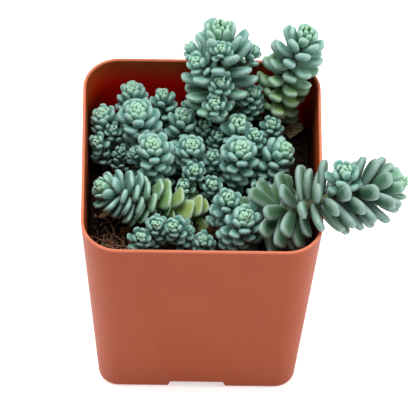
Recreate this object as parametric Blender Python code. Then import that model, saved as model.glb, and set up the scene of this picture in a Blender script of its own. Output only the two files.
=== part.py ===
"""A potted sedum: a square nursery pot, its soil, and a clump of fleshy-leaved shoots.

The frame is +Z up, with the origin under the middle of the pot, on the surface that it stands on.
-Y is the front of the pot, and the longest shoot hangs out over its right side, towards +X.
"""

import math
from collections import namedtuple

import bmesh
import bpy
from mathutils import Matrix, Vector, noise
from mathutils.bvhtree import BVHTree

MM = 0.001
SHARP_ANGLE = math.radians(40)

# The pot, a thin plastic square with a slight draft
POT_WIDTH = 57.0 * MM
POT_HEIGHT = 63.5 * MM
BASE_WIDTH = 47.8 * MM
RIM_CORNER = 8.8 * MM
BASE_CORNER = 5.0 * MM
WALL = 0.7 * MM
FLOOR = 1.0 * MM
FOOT_ROUND = 1.2 * MM
CORNER_SIDES = 6
ABOVE_RIM = POT_HEIGHT * 1.02

# The rounding of the pot's foot, as how far in and how far up each of its rings is, in shares of FOOT_ROUND
OUTER_FOOT = ((0.8, 0.0), (0.25, 0.25), (0.0, 1.0))
INNER_FOOT = ((0.6, 0.0), (0.0, 1.0))

# The drain recess in the middle of each side of the base
RECESS_WIDTH = 12.8 * MM
RECESS_DEPTH = 9.0 * MM
RECESS_HEIGHT = 2.6 * MM
RECESS_FLARE = 1.2 * MM
DRAIN_RADIUS = 2.2 * MM
DRAIN_SIDES = 10

# The soil
SOIL_HEIGHT = 45.5 * MM
SOIL_SLOPE = 1.6 * MM
SOIL_LUMPS = 1.3 * MM
SOIL_LUMP_SIZE = 7.0 * MM
SOIL_RINGS = 5
GAP = 0.3 * MM
HOLE_DEPTH = 3.0 * MM
HOLE_SIDES = 5

# How leaves sit on a shoot: their bases are a golden angle apart, and a little closer together near the tip
GOLDEN_ANGLE = math.radians(137.508)
TIP_CROWDING = 1.1
LEAFY_MOST = 0.93
YOUNGEST_ANGLE = 34.0
YOUNGEST_SIZE = 0.36
BUD_HEIGHT = 0.9
THINNEST_LEAF = 0.62 * MM

# A leaf's outline: where along it its belly and its blunt end are, and how wide they are against its width
BELLY = 0.58
BELLY_GIRTH = 1.16
BLUNT_END = 0.9
BLUNT_GIRTH = 0.8
EDGE_GIRTH = 0.72

# The clearance that a leaf keeps, and the lengths and girths that it is given, in turn, until it is clear
LEAF_CLEARANCE = 0.14 * MM
OWN_CLEARANCE = 0.03 * MM
SIZES_TRIED = ((1.0, 1.0), (1.0, 0.88), (0.88, 0.88), (0.88, 0.76), (0.76, 0.76), (0.76, 0.64), (0.6, 0.64))

STEM_STEP = 5.0 * MM
BARE_STEM = 0.92
CURVE_POINTS = 60

# A kind of shoot: its full-grown leaf's length, width and thickness, how many leaves it bears and over what
# length of stem, the radius of that stem, how far down the tip is domed, how far down its leaves grow and
# open, the angle that they open to, how much they curl towards the tip, the pair of spirals that their bases
# are laid out on, and whether its leaves end in a blunt face or in an edge.
Kind = namedtuple("Kind", "leaf count leafy stem dome growing opening angle curl spirals blunt")
KINDS = {
    "tall": Kind((8.0, 3.4, 2.7), 60, 32.0, 1.7, 3.0, 8.0, 15.0, 72.0, 0.10, (3, 5), True),
    "leaning": Kind((6.9, 3.3, 2.6), 50, 30.0, 1.5, 2.8, 7.0, 13.0, 70.0, 0.10, (3, 5), True),
    "trailing": Kind((7.8, 3.9, 2.9), 84, 44.0, 1.8, 3.2, 8.5, 13.0, 64.0, 0.10, (3, 5), True),
    "creeping": Kind((5.9, 3.2, 2.4), 66, 30.0, 1.5, 2.6, 4.8, 8.0, 64.0, 0.10, (3, 5), True),
    "head": Kind((4.6, 2.4, 1.95), 38, 14.0, 1.3, 2.2, 4.6, 8.4, 68.0, 0.20, (3, 5), False),
    "young": Kind((3.1, 1.8, 1.5), 18, 8.4, 0.95, 1.6, 3.2, 5.2, 68.0, 0.20, (2, 3), False),
    "side": Kind((2.5, 1.6, 1.35), 11, 4.0, 0.85, 1.5, 2.4, 3.8, 68.0, 0.20, (2, 3), False),
    "bud": Kind((2.4, 1.45, 1.25), 12, 6.4, 0.72, 1.2, 2.2, 3.8, 68.0, 0.20, (2, 3), False),
}

# A shoot: where its stem leaves the soil, or its parent shoot and how far below that shoot's tip it joins,
# then its own tip, the way that it grows there, its size against its kind, and how far its two ends run
# straight before they bend. Lengths are in millimetres. Where leaves would cross, those further down the list
# stay as they are.
Shoot = namedtuple("Shoot", "name kind root tip aim size rise reach", defaults=(1.0, (0, 0, 5), 5.0))
SHOOTS = (
    Shoot("shoot_back_tall", "tall", (5.5, 16.5), (4.0, 27.0, 78.2), (0, 0.3, 1), 1.0, (0, 1.5, 10), 10.0),
    Shoot("shoot_back_tall_branch_1", "side", ("shoot_back_tall", 8.3), (4.3, 20.9, 77.6),
          (0, -0.6, 0.8), 1.0, (0, -3.1, 0.3), 2.0),
    Shoot("shoot_back_tall_branch_2", "side", ("shoot_back_tall", 12.6), (-1.8, 20.6, 72.8),
          (-0.35, -0.5, 0.8), 1.3, (-2.0, -2.2, 0.6), 2.6),
    Shoot("shoot_back_tall_branch_3", "side", ("shoot_back_tall", 18.8), (4.1, 16.6, 70.0),
          (0, -0.6, 0.8), 1.15, (0, -3.6, 0.3), 2.2),
    Shoot("shoot_back_tall_branch_4", "side", ("shoot_back_tall", 24.8), (3.0, 13.4, 65.6),
          (-0.1, -0.6, 0.8), 1.25, (0, -3.1, 0.5), 2.6),
    Shoot("shoot_back_tall_branch_5", "side", ("shoot_back_tall", 15.6), (12.6, 25.2, 71.8),
          (0.6, 0.2, 0.8), 1.05, (3.5, 0.3, 0.6), 2.5),
    Shoot("shoot_back_tall_branch_6", "side", ("shoot_back_tall", 12.0), (-3.3, 27.0, 69.8),
          (-0.6, 0.3, 0.75), 1.15, (-2.6, 0.5, 0.9), 2.0),
    Shoot("shoot_back_right", "leaning", (15.6, 21.4), (24.8, 26.0, 78.0), (0.25, 0.05, 1),
          1.0, (0.5, 0, 10), 9.0),
    Shoot("shoot_trailing_right", "trailing", (12.5, -9.5), (46.3, -12.7, 71.0), (0.9, 0.15, 0.34),
          1.0, (5.5, -8.5, 24.0), 14.0),
    Shoot("shoot_trailing_right_branch", "side", ("shoot_trailing_right", 13.8), (32.9, -13.6, 76.0),
          (0, -0.25, 1), 1.6, (0, 0.6, 1.7), 3.5),
    Shoot("shoot_trailing_left", "creeping", (0.5, -6.5), (-24.0, -7.0, 60.0), (-0.7, 0.05, 0.7),
          1.0, (-5.0, -0.5, 6.5), 8.0),
    Shoot("shoot_left_big", "head", (-14.5, 12.8), (-15.6, 13.7, 62.5), (-0.1, -0.1, 1), 1.18),
    Shoot("shoot_middle_right", "head", (9.0, 5.0), (9.5, 3.4, 61.8), (0.1, -0.1, 1), 1.10),
    Shoot("shoot_middle_left", "head", (-11.0, 5.0), (-11.7, 3.8, 62.0), (-0.05, -0.15, 1), 1.08),
    Shoot("shoot_right", "head", (15.2, 5.6), (20.2, 6.2, 58.0), (0.75, 0.1, 0.65), 1.04),
    Shoot("shoot_front_right", "head", (8.6, -14.2), (10.2, -17.0, 62.0), (0.2, -0.4, 0.9), 1.12),
    Shoot("shoot_middle", "head", (-2.6, 6.8), (-2.5, 5.2, 60.0), (0, -0.15, 1), 0.90),
    Shoot("shoot_back_left", "head", (-15.8, 20.6), (-16.8, 23.0, 59.0), (-0.05, 0.15, 1), 0.86),
    Shoot("shoot_left_wall", "head", (-21.0, 13.8), (-24.0, 15.4, 59.0), (-0.25, 0.05, 1), 0.84),
    Shoot("shoot_right_back", "young", (8.9, 12.2), (8.9, 10.8, 61.5), (0, -0.15, 1), 1.45),
    Shoot("shoot_middle_back", "young", (-4.6, 13.6), (-4.5, 15.6, 58.3), (0, -0.1, 1), 1.30),
    Shoot("shoot_front_upright", "young", (5.4, -9.8), (6.3, -11.5, 62.0), (0, -0.15, 1), 1.25),
    Shoot("shoot_back_left_small", "young", (-8.8, 20.0), (-9.3, 21.9, 58.2), (-0.1, 0.15, 1), 1.12),
    Shoot("shoot_back_bud_right", "young", (12.0, 18.4), (12.2, 18.8, 63.5), (0.2, -0.5, 0.85), 1.0),
    Shoot("shoot_right_bud", "young", (16.4, 14.2), (16.8, 13.8, 57.5), (0, -0.4, 0.9), 0.95),
    Shoot("shoot_right_back_small", "young", (13.4, 11.4), (12.8, 8.9, 59.6), (0.2, -0.2, 1), 0.90),
    Shoot("shoot_middle_front_bud", "young", (-1.8, 2.0), (-1.8, -0.3, 57.5), (0, -0.55, 0.85), 1.0),
    Shoot("shoot_front_left", "young", (-10.6, -14.0), (-10.8, -16.4, 57.6), (-0.1, -0.5, 0.85), 1.0),
    Shoot("shoot_front_middle", "young", (-4.6, -14.6), (-7.0, -16.9, 57.5), (-0.5, -0.4, 0.8), 1.04),
    Shoot("shoot_fading", "bud", (-3.4, -0.8), (-4.4, -2.4, 54.0), (-0.3, -0.3, 0.9), 1.15),
    Shoot("shoot_left_wall_bud", "bud", (-20.2, 9.2), (-21.3, 11.2, 58.0), (0, -0.5, 0.85), 0.95),
    Shoot("shoot_back_bud_left", "bud", (-2.6, 19.6), (-2.1, 20.2, 58.5), (-0.1, -0.5, 0.85), 1.12),
    Shoot("shoot_back_bud_middle", "bud", (1.4, 12.6), (1.1, 13.8, 56.5), (0, -0.5, 0.85), 1.16),
    Shoot("shoot_middle_left_bud", "bud", (-16.4, 6.2), (-16.2, 4.4, 58.0), (-0.4, -0.4, 0.85), 0.90),
    Shoot("shoot_middle_bud", "bud", (3.2, 5.0), (2.7, 3.8, 57.5), (-0.1, -0.4, 0.9), 1.10),
    Shoot("shoot_middle_back_bud", "bud", (3.9, 9.4), (3.9, 10.7, 56.6), (0, -0.5, 0.85), 1.05),
    Shoot("shoot_left_corner_bud", "bud", (-23.2, 8.4), (-25.2, 8.4, 56.8), (-0.2, -0.5, 0.85), 1.20),
    Shoot("shoot_left_low_bud", "bud", (-19.4, 6.0), (-19.2, 7.6, 54.4), (0, -0.5, 0.85), 0.85),
    Shoot("shoot_low_bud", "bud", (2.9, -1.0), (2.6, -2.2, 54.5), (0, -0.5, 0.85), 1.20),
    Shoot("shoot_right_low_bud", "bud", (13.6, -2.2), (13.6, -3.2, 55.0), (0, -0.45, 0.9), 1.15),
    Shoot("shoot_right_low_bud_small", "bud", (17.4, -1.0), (17.3, -1.9, 52.8), (0.2, -0.4, 0.85), 0.75),
    Shoot("shoot_front_left_low", "bud", (-14.2, -17.2), (-14.3, -18.1, 55.0), (0, -0.45, 0.9), 1.30),
    Shoot("shoot_front_low", "bud", (0.4, -15.8), (0.3, -17.4, 53.0), (-0.1, -0.2, 1), 1.24),
)

# A loose thing on the soil: its length, width, height, place and turn, in millimetres and degrees
Lump = namedtuple("Lump", "name length width height place turn")
BARK_CHIP = Lump("bark_chip", 4.6, 3.0, 1.4, (22.6, 20.8), 35.0)
GRIT = (
    Lump("grit_1", 3.4, 2.6, 2.2, (-14.8, 8.9), 20.0),
    Lump("grit_2", 2.8, 2.2, 1.9, (-13.6, -1.6), 70.0),
    Lump("grit_3", 3.0, 2.3, 1.9, (21.6, 1.2), 110.0),
)
LUMP_ROUGHNESS = 0.25
LUMP_GRAIN = 3.0

PLANT_GREEN = (0.22, 0.40, 0.33, 1.0)
POT_TERRACOTTA = (0.40, 0.105, 0.058, 1.0)
SOIL_BROWN = (0.030, 0.017, 0.011, 1.0)
BARK_GOLD = (0.22, 0.13, 0.035, 1.0)
GRIT_GREY = (0.30, 0.27, 0.24, 1.0)


def clear_scene():
    for obj in list(bpy.data.objects):
        bpy.data.objects.remove(obj)


def material(name, colour, roughness):
    made = bpy.data.materials.new(name)
    made.use_nodes = True
    shader = made.node_tree.nodes["Principled BSDF"]
    shader.inputs["Base Color"].default_value = colour
    shader.inputs["Roughness"].default_value = roughness
    shader.inputs["Metallic"].default_value = 0.0
    return made


def object_from(name, mesh, look=None):
    obj = bpy.data.objects.new(name, mesh)
    bpy.context.scene.collection.objects.link(obj)
    if look:
        mesh.materials.append(look)
    return obj


def mesh_from(name, bm):
    bmesh.ops.recalc_face_normals(bm, faces=bm.faces)
    mesh = bpy.data.meshes.new(name)
    bm.to_mesh(mesh)
    bm.free()
    return mesh


def smooth(objects):
    for obj in objects:
        obj.data.shade_smooth()
        obj.data.set_sharp_from_angle(angle=SHARP_ANGLE)


def with_modifiers_applied(obj):
    """The object with its modifiers turned into plain mesh."""
    graph = bpy.context.evaluated_depsgraph_get()
    applied = bpy.data.meshes.new_from_object(obj.evaluated_get(graph))
    obj.modifiers.clear()
    obj.data = applied
    return obj


def boolean(obj, operation, others, solver="EXACT"):
    """Joins others to obj, or cuts them from it, in one Boolean on a collection, and removes them."""
    group = bpy.data.collections.new(obj.name + "_" + operation.lower())
    for other in others:
        group.objects.link(other)
    cut = obj.modifiers.new(operation.title(), "BOOLEAN")
    cut.operation = operation
    cut.operand_type = "COLLECTION"
    cut.collection = group
    cut.solver = solver
    with_modifiers_applied(obj)
    for other in others:
        bpy.data.objects.remove(other)
    bpy.data.collections.remove(group)
    return obj


# The pot and its soil

def share(low, high, part):
    return low + (high - low) * part


def outer_half(z):
    """Half the pot's outer width at a height."""
    return share(BASE_WIDTH, POT_WIDTH, z / POT_HEIGHT) / 2


def corner_radius(z):
    return share(BASE_CORNER, RIM_CORNER, z / POT_HEIGHT)


def inner_half(z):
    return outer_half(z) - WALL


def square_ring(half, radius, z):
    """Points round a square with rounded corners."""
    points = []
    for quarter in range(4):
        middle = math.radians(45 + 90 * quarter)
        centre = Vector((math.cos(middle), math.sin(middle))) * (half - radius) * math.sqrt(2)
        for step in range(CORNER_SIDES + 1):
            angle = middle + math.radians(90 * step / CORNER_SIDES - 45)
            points.append((centre.x + radius * math.cos(angle), centre.y + radius * math.sin(angle), z))
    return points


def loft(rings):
    """A closed mesh through rings of equally many points, capped at both ends."""
    bm = bmesh.new()
    loops = [[bm.verts.new(point) for point in ring] for ring in rings]
    for low, high in zip(loops, loops[1:]):
        for i in range(len(low)):
            j = (i + 1) % len(low)
            bm.faces.new((low[i], low[j], high[j], high[i]))
    bm.faces.new(loops[0])
    bm.faces.new(loops[-1])
    return bm


def side_blocks(grow, top, bottom, reach):
    """A flared block over the recess in each side of the base, larger than it by grow."""
    blocks = []
    inner_end = BASE_WIDTH / 2 - RECESS_DEPTH - grow
    for quarter in range(4):
        corners = []
        for z, extra in ((bottom, RECESS_FLARE), (top, 0.0)):
            half = RECESS_WIDTH / 2 + extra + grow
            ends = ((-half, -reach), (half, -reach), (half, -inner_end), (-half, -inner_end))
            corners.append([(x, y, z) for x, y in ends])
        bm = loft(corners)
        bmesh.ops.rotate(bm, verts=bm.verts, matrix=Matrix.Rotation(math.radians(90 * quarter), 3, "Z"))
        blocks.append(object_from(f"block_{quarter}", mesh_from("block", bm)))
    return blocks


def drain_holes():
    holes = []
    middle = BASE_WIDTH / 2 - RECESS_DEPTH + DRAIN_RADIUS + WALL
    for quarter in range(4):
        angle = math.radians(90 * quarter)
        bm = bmesh.new()
        place = Matrix.Translation((middle * math.cos(angle), middle * math.sin(angle), RECESS_HEIGHT))
        bmesh.ops.create_cone(bm, cap_ends=True, segments=DRAIN_SIDES, radius1=DRAIN_RADIUS,
                              radius2=DRAIN_RADIUS, depth=4 * FLOOR, matrix=place)
        holes.append(object_from(f"drain_{quarter}", mesh_from("drain", bm)))
    return holes


def foot_rings(profile, inset, floor):
    """Rings up the rounded foot of the pot's outside, or of a surface that lies inset from it."""
    rings = []
    for share_in, share_up in profile:
        z = floor + share_up * FOOT_ROUND
        half = outer_half(z) - inset - share_in * FOOT_ROUND
        rings.append(square_ring(half, corner_radius(z) - inset - share_in * FOOT_ROUND / 2, z))
    return rings


def pot(look):
    """The pot: a lofted shell, raised over the recess in each side of its base."""
    outside = foot_rings(OUTER_FOOT, 0.0, 0.0) + [square_ring(outer_half(POT_HEIGHT), RIM_CORNER, POT_HEIGHT)]
    shell = object_from("pot", mesh_from("pot", loft(outside)), look)
    inside = foot_rings(INNER_FOOT, WALL, FLOOR)
    inside.append(square_ring(inner_half(ABOVE_RIM), corner_radius(ABOVE_RIM) - WALL, ABOVE_RIM))
    cavity = object_from("cavity", mesh_from("cavity", loft(inside)))
    boolean(cavity, "DIFFERENCE", side_blocks(FLOOR, RECESS_HEIGHT + FLOOR, -FLOOR, BASE_WIDTH))
    boolean(shell, "DIFFERENCE", [cavity])
    boolean(shell, "DIFFERENCE", side_blocks(0.0, RECESS_HEIGHT, -FLOOR, BASE_WIDTH))
    return boolean(shell, "DIFFERENCE", drain_holes())


def soil_top(x, y):
    """The height of the soil's surface: a low mound to the front left, with lumps."""
    mound = SOIL_SLOPE * (-x - y) / POT_WIDTH
    lumps = noise.noise(Vector((x, y, 0.0)) / SOIL_LUMP_SIZE) * SOIL_LUMPS
    return SOIL_HEIGHT + mound + lumps


def soil(look, stems):
    """The soil, with a plain hole for each stem: stems holds each one's place, way up and radius."""
    rings = foot_rings(INNER_FOOT, WALL + GAP, FLOOR + GAP)
    lowest = SOIL_HEIGHT - SOIL_LUMPS - SOIL_SLOPE
    rim = square_ring(inner_half(lowest) - GAP, corner_radius(lowest) - WALL - GAP, 0.0)
    for ring in range(SOIL_RINGS):
        reach = 1.0 - ring / SOIL_RINGS
        rings.append([(x * reach, y * reach, soil_top(x * reach, y * reach)) for x, y, _ in rim])
    body = object_from("soil", mesh_from("soil", loft(rings)), look)
    boolean(body, "DIFFERENCE", side_blocks(FLOOR + GAP, RECESS_HEIGHT + FLOOR + GAP, -FLOOR, BASE_WIDTH))
    holes = []
    for number, (place, way, radius) in enumerate(stems):
        bm = bmesh.new()
        wide = (radius + GAP) / math.cos(math.pi / HOLE_SIDES)
        turn = Vector((0, 0, 1)).rotation_difference(way).to_matrix().to_4x4()
        bmesh.ops.create_cone(bm, cap_ends=True, segments=HOLE_SIDES, radius1=wide, radius2=wide,
                              depth=2 * HOLE_DEPTH, matrix=Matrix.Translation(place) @ turn)
        holes.append(object_from(f"hole_{number}", mesh_from("hole", bm)))
    return boolean(body, "DIFFERENCE", holes)


# The shoots

class Spine:
    """The middle line of a shoot, measured down from its tip."""

    def __init__(self, root, rise, reach, tip, aim):
        aim = aim.normalized()
        handles = (root, root + rise, tip - aim * reach, tip)
        self.points = [self.bezier(handles, 1 - i / CURVE_POINTS) for i in range(CURVE_POINTS + 1)]
        self.below = [0.0]
        for a, b in zip(self.points, self.points[1:]):
            self.below.append(self.below[-1] + (b - a).length)
        self.length = self.below[-1]
        side = aim.orthogonal().normalized()
        self.sides = []
        for i in range(len(self.points)):
            ahead = self.tangent_at(i)
            side = (side - ahead * side.dot(ahead)).normalized()
            self.sides.append(side)

    @staticmethod
    def bezier(handles, t):
        a, b, c, d = handles
        return a * (1 - t) ** 3 + b * 3 * t * (1 - t) ** 2 + c * 3 * t * t * (1 - t) + d * t ** 3

    def tangent_at(self, i):
        """The way to the tip, at one of the points."""
        last = len(self.points) - 1
        return (self.points[max(i - 1, 0)] - self.points[min(i + 1, last)]).normalized()

    def at(self, down):
        """(point, way to the tip, side) at a distance below the tip."""
        last = len(self.points) - 1
        i = 0
        while i < last - 1 and self.below[i + 1] < down:
            i += 1
        part = (down - self.below[i]) / (self.below[i + 1] - self.below[i])
        point = self.points[i].lerp(self.points[i + 1], part)
        ahead = self.tangent_at(i).lerp(self.tangent_at(i + 1), min(part, 1.0)).normalized()
        side = self.sides[i].lerp(self.sides[i + 1], min(part, 1.0))
        return point, ahead, (side - ahead * side.dot(ahead)).normalized()


def eased(part):
    part = min(max(part, 0.0), 1.0)
    return part * part * (3 - 2 * part)


def leaf_faces(blunt):
    """A leaf's faces, by its corners' numbers: an edge ends it by standing twice for each of its ends."""
    end = (8, 9, 10, 11) if blunt else (8, 8, 9, 9)
    loops = ((0, 1, 2, 3), (4, 5, 6, 7), end)
    faces = []
    for low, high in zip(loops, loops[1:]):
        for i in range(4):
            j = (i + 1) % 4
            faces.append(tuple(dict.fromkeys((low[i], low[j], high[j], high[i]))))
    return faces + [end] if blunt else faces


LEAF_FACES = {True: leaf_faces(True), False: leaf_faces(False)}


class Growth:
    """Where the leaf bases of a shoot lie, and the frame of each leaf."""

    def __init__(self, shoot, spine):
        kind = KINDS[shoot.kind]
        self.name, self.spine, self.kind = shoot.name, spine, kind
        self.scale = shoot.size * MM
        self.near, self.far = kind.spirals
        self.ring = self.near + self.far
        self.count = kind.count
        self.leafy = min(kind.leafy * self.scale, spine.length * LEAFY_MOST)
        self.stem = kind.stem * self.scale
        self.bases = [self.base(i) for i in range(self.count + self.ring)]
        self.sizes = [None] * self.count

    def down(self, index):
        return self.leafy * ((index + 0.6) / (self.count + self.ring)) ** TIP_CROWDING

    def on_stem(self, down, angle, radius):
        point, ahead, side = self.spine.at(down)
        return point + (side * math.cos(angle) + ahead.cross(side) * math.sin(angle)) * radius

    def base(self, index):
        """A corner shared by four leaf bases: on the stem, or on the dome at its tip."""
        down = self.down(index)
        part = min(down / (self.kind.dome * self.scale), 1.0)
        return self.on_stem(down, index * GOLDEN_ANGLE, self.stem * math.sqrt(1 - (1 - part) ** 2))

    def corners(self, index):
        """The four corners of a leaf's base: nearest the tip, one side, furthest from the tip, other side."""
        return [self.bases[index + step] for step in (0, self.near, self.ring, self.far)]

    def leaf_points(self, index, size, grow=0.0):
        """The leaf's corners: four at its base, four round its belly, and four or two at its end."""
        corners = self.corners(index)
        middle = sum(corners, Vector()) / 4
        down = self.down(index + self.ring // 2)
        point, ahead, _ = self.spine.at(down)
        out = middle - point
        out = (out - ahead * out.dot(ahead)).normalized()
        opened = eased(down / (self.kind.opening * self.scale))
        angle = math.radians(share(YOUNGEST_ANGLE, self.kind.angle, opened))
        along = ahead * math.cos(angle) + out * math.sin(angle)
        upper = ahead * math.sin(angle) - out * math.cos(angle)
        across = upper.cross(along) * (1 if self.near == 3 else -1)
        length, width, thick = (value * self.scale for value in self.kind.leaf)
        young = share(YOUNGEST_SIZE, 1.0, eased(down / (self.kind.growing * self.scale)))
        length *= young * size[0]
        girth = max(young * size[1], THINNEST_LEAF / thick)
        width, thick = width * girth, thick * girth

        def section(part, girth, past_end=0.0):
            centre = middle + along * (length * part + past_end) + upper * self.kind.curl * length * part ** 2
            wide = across * (width * girth / 2 + grow)
            high = upper * (thick * girth / 2 + grow)
            return [centre + high, centre + wide, centre - high, centre - wide]

        points = corners + section(BELLY, BELLY_GIRTH)
        if self.kind.blunt:
            return points + section(BLUNT_END, BLUNT_GIRTH, grow)
        return points + section(1.0, EDGE_GIRTH, grow)[1::2]

    def leaf_tree(self, index, size, grow):
        """The leaf made a little wider all round, for telling what it would cross."""
        points = self.leaf_points(index, size, grow)
        return points, BVHTree.FromPolygons(points, LEAF_FACES[self.kind.blunt])

    def roots(self, index):
        """The numbers of the corners that each of the leaf's faces shares with its neighbours."""
        numbers = [index, index + self.near, index + self.ring, index + self.far]
        return [{numbers[i] for i in face if i < 4} for face in LEAF_FACES[self.kind.blunt]]

    def tip_loop(self, start):
        """The ragged ring of corners that ends the leaf bases, in order round the stem."""
        found, index = [], 0
        for _ in range(self.ring):
            found.append(start + index)
            index = index + self.near if index + self.near < self.ring else index - self.far
        return found

    def stem_rings(self, under):
        """Rings of points down the bare stem, to a depth below its root."""
        loop = self.tip_loop(self.count)
        first = self.down(self.count + self.ring) + self.stem / 3
        end = self.spine.length + under
        steps = max(1, round((end - first) / STEM_STEP))
        radius = self.stem * BARE_STEM
        return [
            [self.on_stem(share(first, end, step / steps), i * GOLDEN_ANGLE, radius) for i in loop]
            for step in range(steps + 1)
        ]

    def mesh(self, under):
        """The shoot as one closed mesh: a leaf raised from each base, a bud at the tip, and the stem."""
        bm = bmesh.new()
        corners = [bm.verts.new(point) for point in self.bases]
        point, ahead, _ = self.spine.at(0.0)
        bud = bm.verts.new(point + ahead * self.stem * BUD_HEIGHT)
        loop = [corners[i] for i in self.tip_loop(0)]
        for a, b in zip(loop, loop[1:] + loop[:1]):
            bm.faces.new((bud, a, b))
        for index in range(self.count):
            base = [corners[index + step] for step in (0, self.near, self.ring, self.far)]
            if self.sizes[index]:
                outer = self.leaf_points(index, self.sizes[index])[4:]
                corner = base + [bm.verts.new(point) for point in outer]
                for face in LEAF_FACES[self.kind.blunt]:
                    bm.faces.new([corner[i] for i in face])
            else:
                bm.faces.new(base)
        low = [corners[i] for i in self.tip_loop(self.count)]
        for ring in self.stem_rings(under):
            high = [bm.verts.new(corner) for corner in ring]
            for i in range(self.ring):
                j = (i + 1) % self.ring
                bm.faces.new((low[i], low[j], high[j], high[i]))
            low = high
        bm.faces.new(low)
        return mesh_from(self.name, bm)


def grow_all():
    """Every shoot's spine and leaf bases, parents before their branches."""
    grown = {}
    for shoot in SHOOTS:
        tip, rise = Vector(shoot.tip) * MM, Vector(shoot.rise) * MM
        if isinstance(shoot.root[0], str):
            parent, down = shoot.root
            root = grown[parent].spine.at(down * MM)[0]
        else:
            x, y = (value * MM for value in shoot.root)
            root = Vector((x, y, soil_top(x, y)))
        grown[shoot.name] = Growth(shoot, Spine(root, rise, shoot.reach * MM, tip, Vector(shoot.aim)))
    return grown


# Room that is taken: the shoot that takes it, its limits, its surface, and whether it is a stem or a leaf
Taken = namedtuple("Taken", "name limits tree kind")


def family(name):
    """The shoot that a branch belongs to. Its stems and leaves grow out of one another."""
    return name.split("_branch")[0]


def stem_tree(growth):
    """The bare stem and the core of the leafy part, for telling what would cross it."""
    end = growth.spine.length
    stations = [growth.kind.dome * growth.scale]
    while stations[-1] < end:
        stations.append(min(stations[-1] + STEM_STEP / 2, end))
    points, faces, sides = [], [], 6
    for down in stations:
        points += [growth.on_stem(down, math.tau * i / sides, growth.stem) for i in range(sides)]
    for low in range(0, len(points) - sides, sides):
        for i in range(sides):
            j = (i + 1) % sides
            faces.append((low + i, low + j, low + sides + j, low + sides + i))
    return points, BVHTree.FromPolygons(points, faces)


def bounds(points):
    low = [min(p[i] for p in points) for i in range(3)]
    high = [max(p[i] for p in points) for i in range(3)]
    return low, high


def apart(one, other):
    return any(one[0][i] > other[1][i] or other[0][i] > one[1][i] for i in range(3))


def in_the_open(points):
    """Whether a leaf is over the soil and off the pot's wall: its first four points are on its stem."""
    for x, y, z in points[4:]:
        if z < soil_top(x, y) + GAP:
            return False
        outside = max(abs(x), abs(y))
        if z < POT_HEIGHT + GAP and inner_half(z) - GAP < outside < outer_half(z) + GAP:
            return False
        if z < POT_HEIGHT and outside < outer_half(z):
            half, radius = inner_half(z) - GAP, corner_radius(z) - WALL
            dx, dy = (max(abs(v) - (half - radius), 0.0) for v in (x, y))
            if math.hypot(dx, dy) > radius:
                return False
    sides = {max(abs(x), abs(y)) < inner_half(POT_HEIGHT) for x, y, _ in points}
    return len(sides) == 1 or min(z for _, _, z in points) > POT_HEIGHT + GAP


def crosses_any(points, tree, others):
    limits = bounds(points)
    return any(not apart(limits, other.limits) and tree.overlap(other.tree) for other in others)


def settle(grown):
    """Makes each leaf that would cross another, a stem, the soil or the pot smaller, or leaves it off."""
    taken = []
    for name, growth in grown.items():
        points, tree = stem_tree(growth)
        taken.append(Taken(name, bounds(points), tree, "stem"))
    for name, growth in reversed(grown.items()):
        own = {}
        others = [
            one for one in taken
            if one.name != name and (one.kind == "leaf" or family(one.name) != family(name))
        ]
        for index in range(growth.count):
            for size in SIZES_TRIED:
                points, tree = growth.leaf_tree(index, size, LEAF_CLEARANCE)
                _, own_tree = growth.leaf_tree(index, size, OWN_CLEARANCE)
                if not in_the_open(points) or crosses_any(points, tree, others):
                    continue
                if crosses_own(growth, index, own_tree, own):
                    continue
                taken.append(Taken(name, bounds(points), tree, "leaf"))
                own[index] = own_tree
                growth.sizes[index] = size
                break


def crosses_own(growth, index, tree, own):
    """Whether a leaf crosses one of the same shoot, apart from where the two share a corner."""
    roots = growth.roots(index)
    for other, other_tree in own.items():
        other_roots = growth.roots(other)
        if any(not roots[a] & other_roots[b] for a, b in tree.overlap(other_tree)):
            return True
    return False


def lump(thing, look):
    """A stone or a chip of bark: a rough low solid lying on the soil."""
    bm = bmesh.new()
    bmesh.ops.create_icosphere(bm, subdivisions=1, radius=0.5)
    for vert in bm.verts:
        vert.co *= 1 + LUMP_ROUGHNESS * noise.noise(vert.co * LUMP_GRAIN + Vector((thing.turn, 0, 0)))
        vert.co = Vector((vert.co.x * thing.length, vert.co.y * thing.width, vert.co.z * thing.height)) * MM
    bmesh.ops.rotate(bm, verts=bm.verts, matrix=Matrix.Rotation(math.radians(thing.turn), 3, "Z"))
    x, y = (value * MM for value in thing.place)
    rise = max(soil_top(x + v.co.x, y + v.co.y) + GAP - v.co.z for v in bm.verts if v.co.z < 0)
    bmesh.ops.translate(bm, verts=bm.verts, vec=(x, y, rise))
    return object_from(thing.name, mesh_from(thing.name, bm), look)


def shoots(look):
    """Grows every shoot, and fuses each branch to its parent. Gives each stem's place, way up and radius."""
    grown = grow_all()
    settle(grown)
    stems = []
    for name, growth in grown.items():
        branch = family(name) != name
        object_from(name, growth.mesh(0.0 if branch else HOLE_DEPTH - GAP), look)
        if not branch:
            root, way, _ = growth.spine.at(growth.spine.length)
            stems.append((root, way, growth.stem))
    for name in grown:
        branches = [bpy.data.objects[other] for other in grown if family(other) == name and other != name]
        if branches:
            boolean(bpy.data.objects[name], "UNION", branches, "MANIFOLD")
    return stems


def main():
    clear_scene()
    pot(material("terracotta_plastic", POT_TERRACOTTA, 0.45))
    stems = shoots(material("sedum_leaf", PLANT_GREEN, 0.55))
    soil(material("potting_soil", SOIL_BROWN, 0.95), stems)
    lump(BARK_CHIP, material("bark", BARK_GOLD, 0.8))
    grit = material("grit", GRIT_GREY, 0.8)
    for stone in GRIT:
        lump(stone, grit)
    smooth(bpy.context.scene.objects)


main()
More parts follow.
